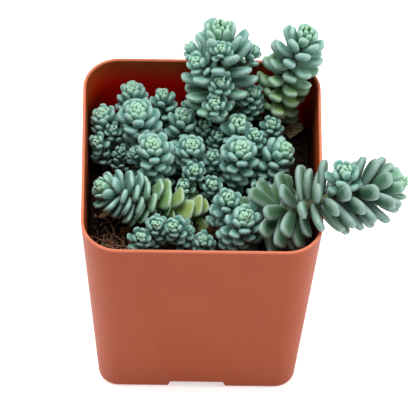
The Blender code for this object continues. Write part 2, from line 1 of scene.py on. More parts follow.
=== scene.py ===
# %% [markdown]
# # A potted sedum
#
# This lesson dresses the plain solids of a small potted succulent: a square nursery pot, its soil,
# and a clump of fleshy blue-green shoots. The solids fix where everything is and how large it is.
# Here each one is replaced by a finer piece of the same form, and gets the finish of the real thing.
# We start by loading the solids, which come in metres with +Z up and the front of the pot at -Y.

# %% Load the plain solids
import math
import random
from collections import namedtuple
from contextlib import contextmanager
from itertools import product

import bmesh
import bpy
from mathutils import Matrix, Vector, noise


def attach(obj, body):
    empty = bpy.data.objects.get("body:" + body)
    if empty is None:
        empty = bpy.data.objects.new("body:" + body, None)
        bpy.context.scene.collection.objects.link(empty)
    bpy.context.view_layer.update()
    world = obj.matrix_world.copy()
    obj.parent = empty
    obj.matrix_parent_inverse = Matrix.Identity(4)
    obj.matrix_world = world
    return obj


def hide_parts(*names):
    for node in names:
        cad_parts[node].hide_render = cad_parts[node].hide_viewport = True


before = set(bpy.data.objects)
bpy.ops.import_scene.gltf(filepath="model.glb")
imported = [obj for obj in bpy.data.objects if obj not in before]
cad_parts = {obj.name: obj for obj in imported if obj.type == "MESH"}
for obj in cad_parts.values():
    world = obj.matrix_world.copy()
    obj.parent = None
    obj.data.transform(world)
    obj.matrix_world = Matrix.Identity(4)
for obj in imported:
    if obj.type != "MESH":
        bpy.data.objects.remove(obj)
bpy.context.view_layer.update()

MM = 0.001
print("solids:", len(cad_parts))

# %% [markdown]
# ## The camera
#
# A picture taken from well back with a long lens keeps the pot's sides nearly parallel. The camera
# looks down on the plant by 54 degrees, almost straight at the front of the pot, and is held about
# two degrees off level. Turning it about Z, then about its own X and Z, gives exactly that.

# %% Place the camera
CAMERA_PLACE = Vector((-20.811, -663.506, 958.556)) * MM
LOOKING_DOWN = 54.09
TURNED_LEFT = -1.96
OFF_LEVEL = 2.32
LENS = 407.27


def add_object(name, data):
    made = bpy.data.objects.new(name, data)
    bpy.context.scene.collection.objects.link(made)
    return made


def turned(degrees, axis):
    return Matrix.Rotation(math.radians(degrees), 4, axis)


camera = add_object("camera", bpy.data.cameras.new("camera"))
camera.matrix_world = (Matrix.Translation(CAMERA_PLACE) @ turned(TURNED_LEFT, "Z")
                       @ turned(90 - LOOKING_DOWN, "X") @ turned(OFF_LEVEL, "Z"))
camera.data.lens = LENS
camera.data.clip_start = 0.05
camera.data.clip_end = 20.0
bpy.context.scene.camera = camera
print("camera", round(CAMERA_PLACE.length, 3), "m from the pot")

# %% [markdown]
# ## Small helpers
#
# Colours are picked as hex values from a screen, which are sRGB, while the shaders want linear light,
# so one function turns them. Another adds a shader node with its settings, values and links. The rest
# stand on that one: noise in the piece's own coordinates, a number kept on its points, a number taken
# to another range, a mix of two colours, and the surface at the end. A material is then a short list of
# sentences.

# %% Colours and shader nodes
MIX_FACTOR, MIX_A, MIX_B, MIX_COLOUR = 0, 6, 7, 2


def hex_colour(text):
    """An sRGB hex colour as linear red, green, blue and alpha."""
    channels = [int(text[i:i + 2], 16) / 255 for i in (1, 3, 5)]
    return [c / 12.92 if c <= 0.04045 else ((c + 0.055) / 1.055) ** 2.4 for c in channels] + [1.0]


def add_node(tree, kind, values={}, links={}, **settings):
    """A shader node with its settings, the values of its inputs, and what is linked to them."""
    made = tree.nodes.new("ShaderNode" + kind)
    for name, value in settings.items():
        setattr(made, name, value)
    for name, value in values.items():
        made.inputs[name].default_value = value
    for name, source in links.items():
        tree.links.new(source, made.inputs[name])
    return made


def new_material(name):
    """An empty material and its node tree."""
    made = bpy.data.materials.new(name)
    made.use_nodes = True
    made.node_tree.nodes.clear()
    return made, made.node_tree


def noise_on(tree, scale, detail, roughness=0.5, place=None):
    place = place or add_node(tree, "TexCoord").outputs["Object"]
    values = {"Scale": scale, "Detail": detail, "Roughness": roughness}
    return add_node(tree, "TexNoise", values, {"Vector": place}).outputs["Fac"]


def number_on(tree, name):
    return add_node(tree, "Attribute", attribute_name=name).outputs["Fac"]


def ranged(tree, number, low, high, start=0.0, end=1.0):
    """A number that runs from low to high while another runs from start to end."""
    values = {"From Min": start, "From Max": end, "To Min": low, "To Max": high}
    return add_node(tree, "MapRange", values, {"Value": number}).outputs["Result"]


def mixed(tree, part, *colours):
    """A mix of two colours, each of them a hex value or what another node gives."""
    values, links = {}, {MIX_FACTOR: part}
    for place, colour in zip((MIX_A, MIX_B), colours):
        if isinstance(colour, str):
            values[place] = hex_colour(colour)
        else:
            links[place] = colour
    return add_node(tree, "Mix", values, links, data_type="RGBA").outputs[MIX_COLOUR]


def add_surface(tree, values, colour=None, rough=None, height=None, relief=(0.0, 0.0)):
    """The shader and the output of a material. A height gives it relief, of a strength and a depth."""
    links = {name: source for name, source in (("Base Color", colour), ("Roughness", rough)) if source}
    if height:
        bump = add_node(tree, "Bump", {"Strength": relief[0], "Distance": relief[1]}, {"Height": height})
        links["Normal"] = bump.outputs["Normal"]
    shader = add_node(tree, "BsdfPrincipled", values, links)
    add_node(tree, "OutputMaterial", {}, {"Surface": shader.outputs["BSDF"]})


print("terracotta in linear light:", [round(c, 3) for c in hex_colour("#933c14")])

# %% [markdown]
# ## Modelling helpers
#
# Every operator acts on all that is selected, so each step first deselects everything. What repeats,
# such as a leaf or a crumb of soil, is modelled once. Each copy then gets its own mesh, moved to its
# place, with a few numbers stored on its points that its material reads, and the copies are joined.

# %% Select, copy and join
def select_only(*objects):
    bpy.ops.object.select_all(action="DESELECT")
    for obj in objects:
        obj.select_set(True)
    bpy.context.view_layer.objects.active = objects[0]


def add_piece(name, operator, **settings):
    """Runs an operator that adds a shape, names the shape, and puts its place into its mesh."""
    bpy.ops.object.select_all(action="DESELECT")
    operator(**settings)
    obj = bpy.context.object
    obj.name = obj.data.name = name
    select_only(obj)
    bpy.ops.object.transform_apply(location=True, rotation=True, scale=True)
    return obj


@contextmanager
def edit_mode():
    """Opens the mesh of the active piece with all of it selected, and closes it at the end."""
    bpy.ops.object.mode_set(mode="EDIT")
    bpy.ops.mesh.select_all(action="SELECT")
    yield
    bpy.ops.object.mode_set(mode="OBJECT")


def select_points(obj, rule):
    """Selects the points of the mesh being edited for which the rule holds."""
    bpy.ops.mesh.select_mode(type="VERT")
    bpy.ops.mesh.select_all(action="DESELECT")
    mesh = bmesh.from_edit_mesh(obj.data)
    for vert in mesh.verts:
        vert.select_set(rule(vert.co))


def curve_piece(name, thickness, smoothness, points, radii=None):
    """A round rod with closed ends along a line of points: a curve, turned to a mesh."""
    path = bpy.data.curves.new(name, "CURVE")
    path.dimensions = "3D"
    path.bevel_depth = thickness
    path.bevel_resolution = smoothness
    path.use_fill_caps = True
    spline = path.splines.new("POLY")
    spline.points.add(len(points) - 1)
    for i, point in enumerate(spline.points):
        point.co = (*points[i], 1.0)
        if radii:
            point.radius = radii[i]
    select_only(add_object(name, path))
    bpy.ops.object.convert(target="MESH")
    return bpy.context.object


def apply_modifier(obj, kind, **settings):
    modifier = obj.modifiers.new(kind.title(), kind)
    for name, value in settings.items():
        setattr(modifier, name, value)
    select_only(obj)
    bpy.ops.object.modifier_apply(modifier=modifier.name)


def cut_or_join(obj, operation, others):
    for other in others:
        apply_modifier(obj, "BOOLEAN", operation=operation, object=other, solver="EXACT")
        bpy.data.objects.remove(other)


def mark_points(obj, name, numbers):
    """Keeps a number on each point of a piece."""
    obj.data.attributes.new(name, "FLOAT", "POINT").data.foreach_set("value", numbers)


def copy_to(shape, place, **marks):
    """A copy of a shape with its own mesh, put in its place, with numbers for its material."""
    made = add_object(shape.name, shape.data.copy())
    made.data.transform(place)
    for name, value in marks.items():
        mark_points(made, name, [value] * len(made.data.vertices))
    return made


def join_all(name, pieces):
    select_only(*pieces)
    bpy.ops.object.join()
    obj = bpy.context.object
    obj.name = obj.data.name = name
    return obj


def finish_piece(obj, slot, *replaced, angle=None, look=None):
    """Shades a piece smooth, gives it its look, and hides the solids it stands for."""
    select_only(obj)
    if angle:
        bpy.ops.object.shade_smooth_by_angle(angle=math.radians(angle))
    else:
        bpy.ops.object.shade_smooth()
    if look:
        obj.data.materials.clear()
        obj.data.materials.append(look)
    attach(obj, "root")
    if replaced:
        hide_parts(*replaced)
    print(obj.name, len(obj.data.polygons), "faces")
    return obj


def between(low, high, part):
    return low + (high - low) * part


def clamped(value, low=0.0, high=1.0):
    return min(max(value, low), high)


# %% [markdown]
# ## The pot
#
# The real pot is injection moulded in polypropylene: a thin tapered square whose corner radius grows
# towards the rim, with a rounded foot, a thin rounded lip, and a drain recess in each side of its base.
# Rounded squares at a list of heights, bridged one to the next, give the wall inside and out in one
# closed skin, as a lathe would give a round pot. The recesses and drain holes are then cut from it.

# %% The sizes of the pot
POT_WIDTH = 57.0 * MM
POT_HEIGHT = 63.5 * MM
BASE_WIDTH = 47.8 * MM
RIM_CORNER = 8.8 * MM
BASE_CORNER = 5.0 * MM
WALL = 0.7 * MM
FLOOR = 1.0 * MM
FOOT_ROUND = 1.2 * MM
FOOT_INSET = 0.8 * FOOT_ROUND
CORNER_STEPS = 14
LIP_STEPS = 4
FOOT_STEPS = 5
GAP = 0.3 * MM


def outer_half(z):
    return between(BASE_WIDTH, POT_WIDTH, z / POT_HEIGHT) / 2


def corner_radius(z):
    return between(BASE_CORNER, RIM_CORNER, z / POT_HEIGHT)


def outside_ring(z, inset=0.0):
    """Half width, corner radius and height of a ring that lies inside the pot's outer face."""
    return outer_half(z) - inset, corner_radius(z) - inset, z


def foot_rings(inset=0.0, floor=0.0):
    """Rings up the rounded foot, which turns from the flat base into the wall."""
    turns = [math.radians(90) * step / FOOT_STEPS for step in range(FOOT_STEPS)]
    return [outside_ring(floor + FOOT_ROUND * (1 - math.cos(turn)),
                         inset + FOOT_INSET * (1 - math.sin(turn))) for turn in turns]


def lip_rings():
    """Rings over the lip, which is a half circle across the wall."""
    turns = [math.radians(90) * step / LIP_STEPS for step in range(2 * LIP_STEPS + 1)]
    return [outside_ring(POT_HEIGHT - WALL / 2 * (1 - math.sin(turn)), WALL / 2 * (1 - math.cos(turn)))
            for turn in turns]


# %% Bridge rounded squares into a closed skin
def add_rounded_square(obj, half, radius, z, number):
    """Adds a ring to the mesh being edited, and marks its points with its number."""
    bpy.ops.mesh.select_all(action="DESELECT")
    bpy.ops.mesh.primitive_plane_add(size=2 * half, location=(0, 0, z))
    bpy.ops.mesh.bevel(offset=radius, segments=CORNER_STEPS, affect="VERTICES")
    bpy.ops.mesh.delete(type="ONLY_FACE")
    mesh = bmesh.from_edit_mesh(obj.data)
    mark = mesh.verts.layers.int["ring"]
    for vert in mesh.verts:
        if vert[mark] == 0:
            vert[mark] = number
    bmesh.update_edit_mesh(obj.data)


def select_rings(obj, *numbers):
    bpy.ops.mesh.select_mode(type="EDGE")
    bpy.ops.mesh.select_all(action="DESELECT")
    mesh = bmesh.from_edit_mesh(obj.data)
    mark = mesh.verts.layers.int["ring"]
    for edge in mesh.edges:
        low, high = (vert[mark] for vert in edge.verts)
        edge.select_set(low == high and low in numbers)
    bmesh.update_edit_mesh(obj.data)


def skin(name, rings):
    """A closed skin through rounded squares, each given as half width, corner radius and height."""
    obj = add_piece(name, bpy.ops.mesh.primitive_plane_add, size=MM)
    obj.data.attributes.new("ring", "INT", "POINT")
    with edit_mode():
        bpy.ops.mesh.delete(type="VERT")
        for number, ring in enumerate(rings, 1):
            add_rounded_square(obj, *ring, number)
        for number in range(1, len(rings)):
            select_rings(obj, number, number + 1)
            bpy.ops.mesh.bridge_edge_loops()
        for number in (1, len(rings)):
            select_rings(obj, number)
            bpy.ops.mesh.edge_face_add()
        bpy.ops.mesh.select_all(action="SELECT")
        bpy.ops.mesh.normals_make_consistent(inside=False)
    return obj


# %% The drain recesses and holes
RECESS_WIDTH = 12.8 * MM
RECESS_DEPTH = 9.0 * MM
RECESS_HEIGHT = 2.6 * MM
RECESS_FLARE = 1.2 * MM
DRAIN_RADIUS = 2.2 * MM
DRAIN_SIDES = 24
SIDES = 4


def recess_blocks(grow, top, reach, bottom=-FLOOR):
    """A block over each recess, flared towards its foot, and larger than the recess by grow."""
    blocks = []
    inner = BASE_WIDTH / 2 - RECESS_DEPTH - grow
    width = RECESS_WIDTH + 2 * grow
    for side in range(SIDES):
        block = add_piece("recess_block", bpy.ops.mesh.primitive_cube_add, size=1.0,
                          location=(0, -(inner + reach) / 2, (top + bottom) / 2),
                          scale=(width, reach - inner, top - bottom))
        with edit_mode():
            select_points(block, lambda co: co.z < (top + bottom) / 2)
            flare = 1 + 2 * RECESS_FLARE / width
            bpy.ops.transform.resize(value=(flare, 1, 1), center_override=(0, 0, 0))
        block.data.transform(turned(90 * side, "Z"))
        blocks.append(block)
    return blocks


def drain_cutters():
    out = BASE_WIDTH / 2 - RECESS_DEPTH + DRAIN_RADIUS + WALL
    turns = [math.radians(90 * side) for side in range(SIDES)]
    return [add_piece("drain_cutter", bpy.ops.mesh.primitive_cylinder_add, vertices=DRAIN_SIDES,
                      radius=DRAIN_RADIUS, depth=4 * FLOOR,
                      location=(out * math.cos(turn), out * math.sin(turn), RECESS_HEIGHT))
            for turn in turns]


# %% Make the pot
LIP_HIGHLIGHT_BAND = 0.25 * MM
SHADED_RINGS = (4, 8, 12, 15)
below_lip = POT_HEIGHT - WALL / 2 - LIP_HIGHLIGHT_BAND
wall_rings = foot_rings() + [outside_ring(FOOT_ROUND), outside_ring(below_lip)] + lip_rings()
wall_rings += [outside_ring(below_lip, WALL)]
wall_rings += [outside_ring(POT_HEIGHT - depth * MM, WALL) for depth in SHADED_RINGS]
wall_rings += [outside_ring(FLOOR + FOOT_ROUND, WALL)] + foot_rings(WALL, FLOOR)[::-1]
pot = skin("nursery_pot", wall_rings)
inner_reach = outer_half(RECESS_HEIGHT) - WALL / 2
cut_or_join(pot, "UNION", recess_blocks(FLOOR, RECESS_HEIGHT + FLOOR, inner_reach, FLOOR / 2))
cut_or_join(pot, "DIFFERENCE", recess_blocks(0.0, RECESS_HEIGHT, BASE_WIDTH) + drain_cutters())
print("pot", len(pot.data.vertices), "points")

# %% Numbers on the pot's points
# Where shade is painted inside the pot: deep red low on the back wall, near black low on the other sides.
INSIDE_FROM = 0.7 * WALL
BACK_SHADE_FROM = 1.5 * MM
BACK_SHADE_TO = 9.0 * MM
BACK_SHADE_START_Y, BACK_SHADE_FULL_Y = 19.0 * MM, 27.0 * MM
SIDE_SHADE_FROM = 4.0 * MM
SIDE_SHADE_TO = 12.0 * MM
DARKEST_SIDE_SHADE = 0.96


def depth_behind(x, y, z):
    """How far a point lies behind the pot's outer face."""
    half, corner = outer_half(z), corner_radius(z)
    dx, dy = (abs(value) - (half - corner) for value in (x, y))
    if min(dx, dy) > 0:
        return corner - math.hypot(dx, dy)
    return corner - max(dx, dy)


def low_inside(point, highest, lowest):
    """0 on the outside and near the rim, to 1 deeper down on the inner wall."""
    if point.z < FLOOR or depth_behind(*point) < INSIDE_FROM:
        return 0.0
    return clamped((POT_HEIGHT - point.z - highest) / (lowest - highest))


def towards_back(point):
    return clamped((point.y - BACK_SHADE_START_Y) / (BACK_SHADE_FULL_Y - BACK_SHADE_START_Y))


def painted_back_shade(point):
    """How much painted shade, a deep red, lies low inside on the back wall."""
    return low_inside(point, BACK_SHADE_FROM, BACK_SHADE_TO) * towards_back(point)


def painted_side_shade(point):
    """How much painted shade, near black, lies low inside at the sides and in front."""
    return low_inside(point, SIDE_SHADE_FROM, SIDE_SHADE_TO) * (1 - towards_back(point)) * DARKEST_SIDE_SHADE


def painted_lip_highlight(point):
    """1 on the lip, where a paler colour is painted as a highlight of the light through the thin edge, to 0
    a little below it.
    """
    return clamped((point.z - below_lip) / LIP_HIGHLIGHT_BAND)


# Numbers for the painted shade inside the pot and the painted highlight on its lip.
for name, rule in (("damp", painted_back_shade), ("side_shade", painted_side_shade), ("lip", painted_lip_highlight)):
    mark_points(pot, name, [rule(vert.co) for vert in pot.data.vertices])
print("damp inside:", sum(painted_back_shade(vert.co) > 0 for vert in pot.data.vertices), "points")

# %% [markdown]
# ## The pot's material
#
# Polypropylene, coloured through with a terracotta pigment and moulded against a lightly etched
# steel mould. To the eye that is an even, slightly waxy orange brown: a soft broad highlight, a very
# fine skin texture, a little light that passes through the thin wall, and faint dusty scuffs from
# handling. So the shader is a dielectric with a medium roughness, a weak subsurface glow, and noise
# at three sizes: the etched grain, the scuffs, and slow changes of the pigment. Inside, shade is
# painted into the colour: a deep red low on the back wall, near black low on the other sides. The lip
# gets a paler colour, a painted highlight. Three numbers on its points say where.

# %% Moulded polypropylene
def moulded_polypropylene():
    made, tree = new_material("moulded_polypropylene_terracotta")
    scuffs = noise_on(tree, 420.0, 6.0, 0.7)
    colour = mixed(tree, noise_on(tree, 55.0, 3.0), "#933c14", "#9c4218")
    colour = mixed(tree, ranged(tree, scuffs, 0.0, 0.15, 0.58, 0.78), colour, "#b0603a")
    # Painted shade: deep red low on the back wall, near black low on the sides. Painted highlight: paler on
    # the lip.
    for name, marked in (("damp", "#e40c03"), ("side_shade", "#180905"), ("lip", "#cb765a")):
        colour = mixed(tree, number_on(tree, name), colour, marked)
    values = {"IOR": 1.49, "Specular IOR Level": 0.12, "Subsurface Weight": 0.2,
              "Subsurface Radius": (1.0, 0.3, 0.1), "Subsurface Scale": 0.0015}
    add_surface(tree, values, colour, rough=ranged(tree, scuffs, 0.38, 0.52),
                height=noise_on(tree, 2600.0, 2.0), relief=(0.12, 0.00008))
    return made


finish_piece(pot, "terracotta_plastic", "pot", angle=35, look=moulded_polypropylene())

# %% [markdown]
# ## The soil
#
# The compost is dark peat, damp below and crumbly on top. The body of it fills the pot, and its top
# follows the same low mound as the solid, with finer lumps added. A grid is thickened down, its top
# is sculpted to that height, and it is cut to the inside of the pot. Crumbs, fibres and a few dry leaf
# scraps are scattered over it afterwards, because peat reads as peat by its loose bits.

# %% The soil's height
SOIL_HEIGHT = 45.5 * MM
SOIL_SLOPE = 1.6 * MM
SOIL_LUMPS = 1.3 * MM
SOIL_LUMP_SIZE = 7.0 * MM
FINE_LUMPS = 0.9 * MM
FINE_LUMP_SIZE = 1.7 * MM
SOIL_GRID = 110


def soil_top(x, y):
    """The height of the solid's surface: a low mound to the front left, with lumps."""
    mound = SOIL_SLOPE * (-x - y) / POT_WIDTH
    return SOIL_HEIGHT + mound + noise.noise(Vector((x, y, 0.0)) / SOIL_LUMP_SIZE) * SOIL_LUMPS


def rough_soil_top(x, y):
    return soil_top(x, y) + noise.fractal(Vector((x, y, 0.0)) / FINE_LUMP_SIZE, 1.0, 2.0, 3) * FINE_LUMPS / 2


# %% Make the body of the soil
soil = add_piece("peat", bpy.ops.mesh.primitive_grid_add, size=POT_WIDTH,
                 x_subdivisions=SOIL_GRID, y_subdivisions=SOIL_GRID)
with edit_mode():
    bpy.ops.mesh.extrude_region_move(TRANSFORM_OT_translate={"value": (0, 0, -POT_HEIGHT)})
    bpy.ops.mesh.select_all(action="SELECT")
    bpy.ops.mesh.normals_make_consistent(inside=False)
for vert in soil.data.vertices:
    if vert.co.z > -POT_HEIGHT / 2:
        vert.co.z = rough_soil_top(vert.co.x, vert.co.y)
inside = foot_rings(WALL + GAP, FLOOR + GAP)
inside += [outside_ring(FLOOR + FOOT_ROUND + GAP, WALL + GAP), outside_ring(POT_HEIGHT, WALL + GAP)]
cut_or_join(soil, "INTERSECT", [skin("pot_inside", inside)])
cut_or_join(soil, "DIFFERENCE", recess_blocks(FLOOR + GAP, RECESS_HEIGHT + FLOOR + GAP, BASE_WIDTH))
print("soil", len(soil.data.polygons), "faces")


# %% [markdown]
# ## The soil's material
#
# Damp peat is nearly black, with warm brown where it has dried, and it never shines. One fine noise
# mixes the two and roughens the surface. A number on the points says how dry the peat is there. It
# differs from crumb to crumb. On the loose bits that number also carries painted light and shade:
# brighter at the front left, darker at the back right.

# %% Peat
SOIL_SHADE = 0.45


def peat(name, wet, dry):
    """Peat between a wet and a dry colour. The number shade on each point moves it towards the dry one; on
    the loose bits it also holds painted light.
    """
    made, tree = new_material(name)
    crumbly = noise_on(tree, 900.0, 5.0, 0.65)
    dryness_and_light = add_node(tree, "Math", {}, {0: crumbly, 1: number_on(tree, "shade")}, operation="MULTIPLY")
    add_surface(tree, {"Roughness": 0.95, "IOR": 1.4, "Specular IOR Level": 0.2},
                mixed(tree, dryness_and_light.outputs["Value"], wet, dry), height=crumbly, relief=(0.8, 0.0004))
    return made


mark_points(soil, "shade", [SOIL_SHADE] * len(soil.data.vertices))
finish_piece(soil, "potting_soil", "soil", angle=60, look=peat("wet_peat", "#070403", "#341e15"))

# %% [markdown]
# ## What lies on the soil
#
# Crumbs of peat, coir fibres, dry scraps of old leaves, sharp grit and one golden chip of pine bark.
# Each is modelled once, as a rough lump, a wavy strand or a curled blade, and strewn over the soil by a
# seeded draw, so the same bits come out each time.

# %% Places on the soil
LIGHT_MIDDLE, LIGHT_SLOPE = 0.5, 1.4
MOST_SHADED, MOST_LIT = 0.04, 1.6
LYING_TILT = 0.5
strewn = random.Random(23)


def soil_spot(margin, low=(-1, -1), high=(1, 1)):
    """A random place on the soil, clear of the wall, between two corners given as parts of the width."""
    half = outer_half(SOIL_HEIGHT) - WALL - margin
    corner = corner_radius(SOIL_HEIGHT)
    while True:
        x, y = (half * strewn.uniform(low[i], high[i]) for i in (0, 1))
        if math.hypot(*(max(abs(value) - (half - corner), 0) for value in (x, y))) < corner:
            return Vector((x, y, soil_top(x, y)))


def tumbled(spot, length, form=(1, 1, 1), tilt=math.pi):
    """A turn, a tilt and a size for a loose bit, at its place. The form scales its three sides."""
    turn = Matrix.Rotation(strewn.uniform(0, math.tau), 4, "Z")
    roll = Matrix.Rotation(strewn.uniform(-tilt, tilt), 4, "X")
    return Matrix.Translation(spot) @ turn @ roll @ Matrix.Diagonal((*(length * side for side in form), 1))


def rough_lump(name, fineness, roughness, seed):
    """A ball of small faces with its points pushed about."""
    lump = add_piece(name, bpy.ops.mesh.primitive_ico_sphere_add, subdivisions=fineness, radius=0.5)
    with edit_mode():
        bpy.ops.transform.vertex_random(offset=roughness, uniform=0.5, seed=seed)
    return lump


def painted_light_at(spot):
    """Painted light and shade on the loose bits: brighter at the front left, darker at the back right."""
    return clamped(LIGHT_MIDDLE - LIGHT_SLOPE * (spot.x + spot.y) / POT_WIDTH, MOST_SHADED, MOST_LIT)


# %% Crumbs of peat
CRUMBS = 1300
CRUMB_SIZES = (0.5 * MM, 1.8 * MM)
CRUMB_FORM = (1.0, 0.8, 0.6)
CRUMB_DRYNESS = (0.0, 1.3)
crumb = rough_lump("crumb", 1, 0.12, 3)
crumbs = []
for _ in range(CRUMBS):
    size = between(*CRUMB_SIZES, strewn.random() ** 2)
    spot = soil_spot(size) + Vector((0, 0, size * 0.2))
    place = tumbled(spot, size, CRUMB_FORM)
    # Painted light: the crumbs are brighter at the front left and darker at the back right.
    crumbs.append(copy_to(crumb, place, shade=strewn.uniform(*CRUMB_DRYNESS) ** 2 * painted_light_at(spot)))
bpy.data.objects.remove(crumb)
finish_piece(join_all("peat_crumbs", crumbs), "potting_soil", angle=60,
             look=peat("crumbly_peat", "#0a0605", "#b07c5e"))


# %% Coir fibres
FIBRES = 450
FIBRE_POINTS = 7
FIBRE_WAVE = 0.09
FIBRE_RADIUS = 0.017
FIBRE_LENGTHS = (2.0, 6.0)
FIBRE_DRYNESS = (0.3, 1.8)
FRONT_LEFT = ((-1, -1), (0.1, -0.35))
steps = [i / (FIBRE_POINTS - 1) for i in range(FIBRE_POINTS)]
wave = [(along - 0.5, FIBRE_WAVE * math.sin(5 * along), FIBRE_WAVE * math.sin(math.pi * along))
        for along in steps]
strand = curve_piece("strand", FIBRE_RADIUS, 0, wave)
fibres = []
for number in range(FIBRES):
    length = strewn.uniform(*FIBRE_LENGTHS) * MM
    corner = FRONT_LEFT if number % 2 else ()
    spot = soil_spot(length * 0.45, *corner) + Vector((0, 0, 0.45 * MM))
    place = tumbled(spot, length, (1, strewn.uniform(0.5, 2.0), 1), LYING_TILT)
    # Painted light: the fibres are brighter at the front left and darker at the back right.
    fibres.append(copy_to(strand, place, shade=strewn.uniform(*FIBRE_DRYNESS) * painted_light_at(spot)))
bpy.data.objects.remove(strand)
finish_piece(join_all("coir_fibres", fibres), "potting_soil", look=peat("coir_fibre", "#2e1910", "#b0846a"))

# %% Dry scraps of leaves
SCRAPS = 60
SCRAP_LENGTHS = (1.4, 3.2)
SCRAP_DRYNESS = (0.2, 1.3)
scrap = add_piece("scrap", bpy.ops.mesh.primitive_grid_add, x_subdivisions=4, y_subdivisions=2, size=1.0)
for vert in scrap.data.vertices:
    vert.co.y *= 0.5 * (1 - 2.6 * vert.co.x ** 2)
    vert.co.z = 0.6 * vert.co.x ** 2 + 0.9 * vert.co.y ** 2
apply_modifier(scrap, "SOLIDIFY", thickness=0.06, offset=0.0)
scraps = []
for _ in range(SCRAPS):
    length = strewn.uniform(*SCRAP_LENGTHS) * MM
    spot = soil_spot(length * 0.5) + Vector((0, 0, 0.35 * MM))
    # Painted light: the scraps are brighter at the front left and darker at the back right.
    dryness_and_light = strewn.uniform(*SCRAP_DRYNESS) * painted_light_at(spot)
    scraps.append(copy_to(scrap, tumbled(spot, length, tilt=LYING_TILT), shade=dryness_and_light))
bpy.data.objects.remove(scrap)
finish_piece(join_all("dry_leaf_scraps", scraps), "bark", look=peat("dry_leaf", "#3b2417", "#9a7450"))

# %% [markdown]
# ## Grit and bark
#
# The grit is crushed stone, pale grey to pinkish and sharp edged, so it keeps its flat facets. The
# chip of bark is a flat splinter: a block whose long sides follow the grain, with its edges broken, in
# a pale golden brown with darker growth lines along it.

# %% Sharp grit
GRIT_LARGE = ((-14.8, 8.9, 3.4, 2.6, 2.2), (-13.6, -1.6, 2.8, 2.2, 1.9), (21.6, 1.2, 3.0, 2.3, 1.9),
              (-14.0, 5.6, 2.2, 1.7, 1.5), (-5.4, 2.0, 2.4, 1.5, 1.3), (-3.6, 3.2, 1.6, 1.2, 1.0))
GRIT_SMALL = 34
GRIT_SIZES = (0.7, 1.7)
GRIT_FORM = (1.0, 0.8, 0.7)
pebble = rough_lump("pebble", 2, 0.05, 11)
stones = []
for x, y, *size in GRIT_LARGE:
    x, y = x * MM, y * MM
    spot = Vector((x, y, soil_top(x, y) + 0.35 * size[2] * MM))
    stones.append(copy_to(pebble, tumbled(spot, MM, size, 0.3), shade=0.6))
for _ in range(GRIT_SMALL):
    size = strewn.uniform(*GRIT_SIZES) * MM
    spot = soil_spot(size) + Vector((0, 0, 0.3 * size))
    stones.append(copy_to(pebble, tumbled(spot, size, GRIT_FORM), shade=strewn.random()))
bpy.data.objects.remove(pebble)


def crushed_stone():
    made, tree = new_material("crushed_granite")
    speckle = noise_on(tree, 1800.0, 3.0)
    body = mixed(tree, number_on(tree, "shade"), "#6b5650", "#a39c92")
    add_surface(tree, {"Roughness": 0.75, "IOR": 1.54}, mixed(tree, speckle, body, "#3c332e"),
                height=speckle, relief=(0.4, 0.0002))
    return made


finish_piece(join_all("grit", stones), "grit", "grit_1", "grit_2", "grit_3", angle=30, look=crushed_stone())

# %% The chip of bark
CHIP_SIZE = (4.6 * MM, 3.0 * MM, 1.2 * MM)
CHIP_PLACE = (22.6 * MM, 20.8 * MM)
CHIP_TURN, CHIP_TILT = 35.0, 14.0
CHIP_LIFT = 1.1 * MM
GRAIN_LINE = 0.45 * MM
chip = add_piece("pine_bark_chip", bpy.ops.mesh.primitive_cube_add, size=1.0)
with edit_mode():
    bpy.ops.mesh.subdivide(number_cuts=5)
    bpy.ops.transform.vertex_random(offset=0.05, uniform=0.6, seed=5)
for vert in chip.data.vertices:
    vert.co.x += 0.18 * noise.noise(Vector((0, vert.co.y * 6, 2.0)))
    vert.co.y *= 1 - 0.35 * (vert.co.x + 0.5) ** 2
    vert.co.z *= 0.75 + 0.35 * math.cos(vert.co.y * 4)
x, y = CHIP_PLACE
chip_place = (Matrix.Translation((x, y, soil_top(x, y) + CHIP_LIFT))
              @ turned(CHIP_TURN, "Z") @ turned(CHIP_TILT, "X"))
chip.data.transform(chip_place @ Matrix.Diagonal((*CHIP_SIZE, 1)))


def pine_bark():
    made, tree = new_material("pine_bark_split")
    place = add_node(tree, "TexCoord").outputs["Object"]
    along_grain = {"Rotation": (0, 0, -math.radians(CHIP_TURN)), "Scale": (0.25, 1.0, 1.0)}
    drawn_out = add_node(tree, "Mapping", along_grain, {"Vector": place}).outputs["Vector"]
    grain = noise_on(tree, 1 / GRAIN_LINE, 3.0, place=drawn_out)
    colour = mixed(tree, ranged(tree, grain, 0.0, 1.0, 0.38, 0.62), "#7a5c26", "#fff2b4")
    add_surface(tree, {"Roughness": 0.7, "IOR": 1.5}, colour, height=grain, relief=(0.6, 0.0003))
    return made


finish_piece(chip, "bark", "bark_chip", angle=40, look=pine_bark())

# %% [markdown]
# ## How the shoots grow
#
# A sedum shoot sets its leaves one after another, each a golden angle round from the last, which is
# 137.5 degrees. Near the tip they are small and stand close to the stem. Further down they are full
# grown and lean out. So a shoot is drawn as a stem line that bends from its root to its tip, and each
# leaf gets its place from its number alone. The first table has the long stems and their kinds, the
# second their branches, and the others the low clump. A row gives the root in the soil, or for a branch
# how far below the stem's tip it leaves, then the tip, the way the shoot grows there, its size, and how
# far its two ends run straight, which is the same for the whole clump. Lengths are in millimetres.

